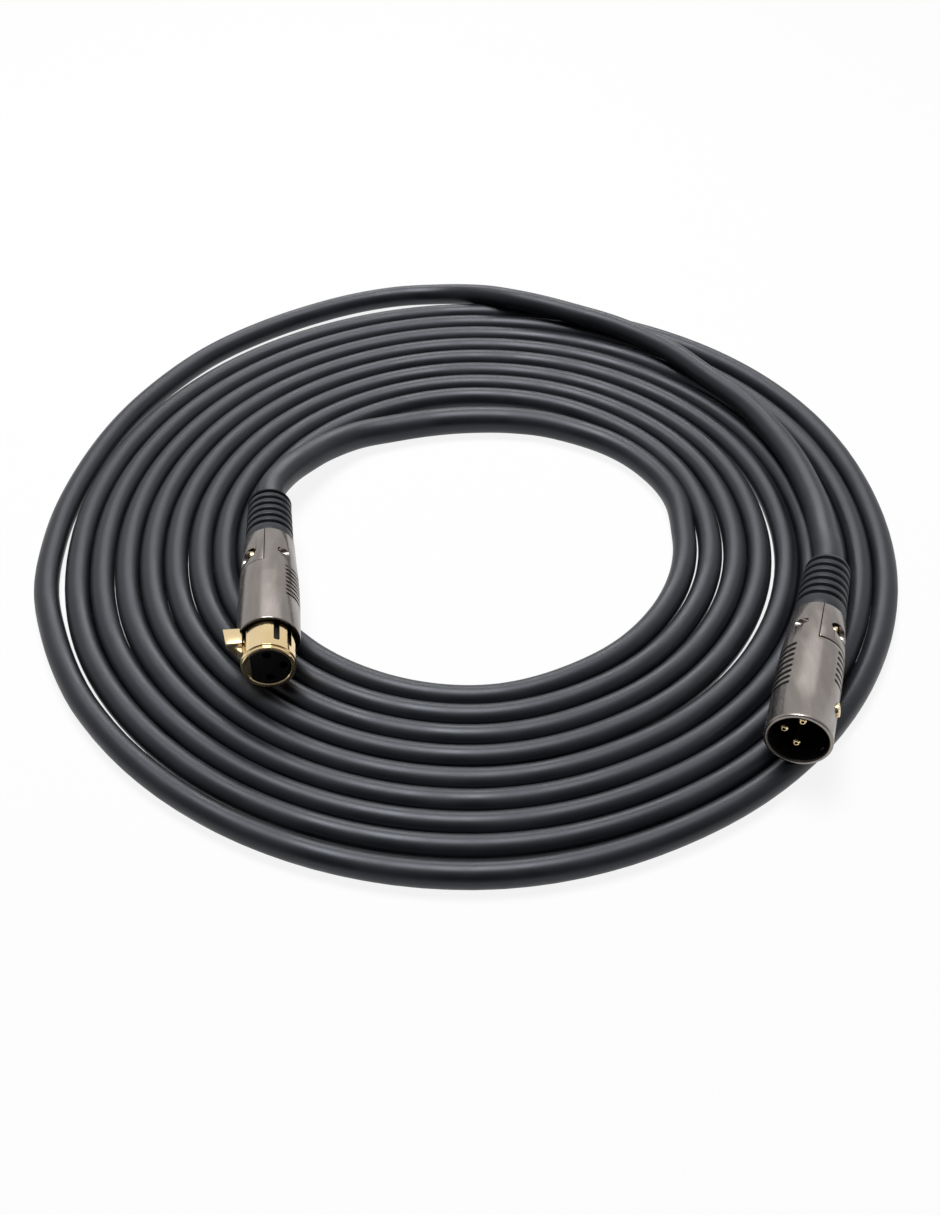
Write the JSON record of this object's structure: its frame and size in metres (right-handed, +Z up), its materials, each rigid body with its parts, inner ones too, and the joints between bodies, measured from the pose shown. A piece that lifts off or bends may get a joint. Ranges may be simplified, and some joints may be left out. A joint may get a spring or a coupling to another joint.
{
  "type": "xlr cable coil",
  "caption": "Microphone cable wound in a flat coil, with a male and a female locking connector lying across the turns.",
  "frame": {"origin": "on the surface the coil lies on, under the middle of the part's box", "axes": "+Z up off that surface; +Y across the coil along the box's longest side, and both connectors' open ends face roughly -Y; +X from the female connector towards the male one"},
  "size_m": [0.2674, 0.2732, 0.0269],
  "materials": {
    "jacket": "matte dark grey PVC jacket",
    "boot": "matte flexible boot",
    "shell": "satin plated die casting, warm grey",
    "gilt": "satin gilt plating",
    "insulator": "matte black moulding",
    "steel": "plain spring steel and pressed jaws",
    "tin": "tinned lug",
    "core_red": "red core insulation",
    "core_white": "white core insulation",
    "copper": "twisted copper shield"
  },
  "bodies": {
    "lead": {"cable_coil": "jacket", "cable_outer_lead": "jacket", "cable_inner_lead": "jacket", "male_shell": "shell", "male_clamp_cover": "shell", "male_clamp_jaws": "steel", "male_clamp_screws": "gilt", "male_insert": "insulator", "male_key_screw": "gilt", "male_ground_lug": "tin", "male_pin_1": "gilt", "male_pin_2": "gilt", "male_pin_3": "gilt", "male_boot": "boot", "male_cable_end": "jacket", "male_wire_hot": "core_red", "male_wire_cold": "core_white", "male_wire_shield": "copper", "female_shell": "shell", "female_nose_ring": "gilt", "female_insert": "insulator", "female_insert_screw": "gilt", "female_contact_1": "gilt", "female_contact_2": "gilt", "female_contact_3": "gilt", "female_ground_lug": "tin", "female_clamp_cover": "shell", "female_clamp_jaws": "steel", "female_clamp_screws": "gilt", "female_boot": "boot", "female_cable_end": "jacket", "female_wire_hot": "core_red", "female_wire_cold": "core_white", "female_wire_shield": "copper", "latch_pivot_pin": "steel", "latch_spring": "steel"},
    "latch": {"latch_lever": "gilt"}
  },
  "joints": [
    {"name": "latch_press", "type": "hinge", "parent": "lead", "child": "latch", "pos_m": [-0.06204, -0.05942, 0.01712], "axis": [-0.0049, 0.0521, 0.9986], "range_deg": [0, 5], "stiffness_Nm_per_rad": 0.4, "springref_deg": -2.86}
  ]
}
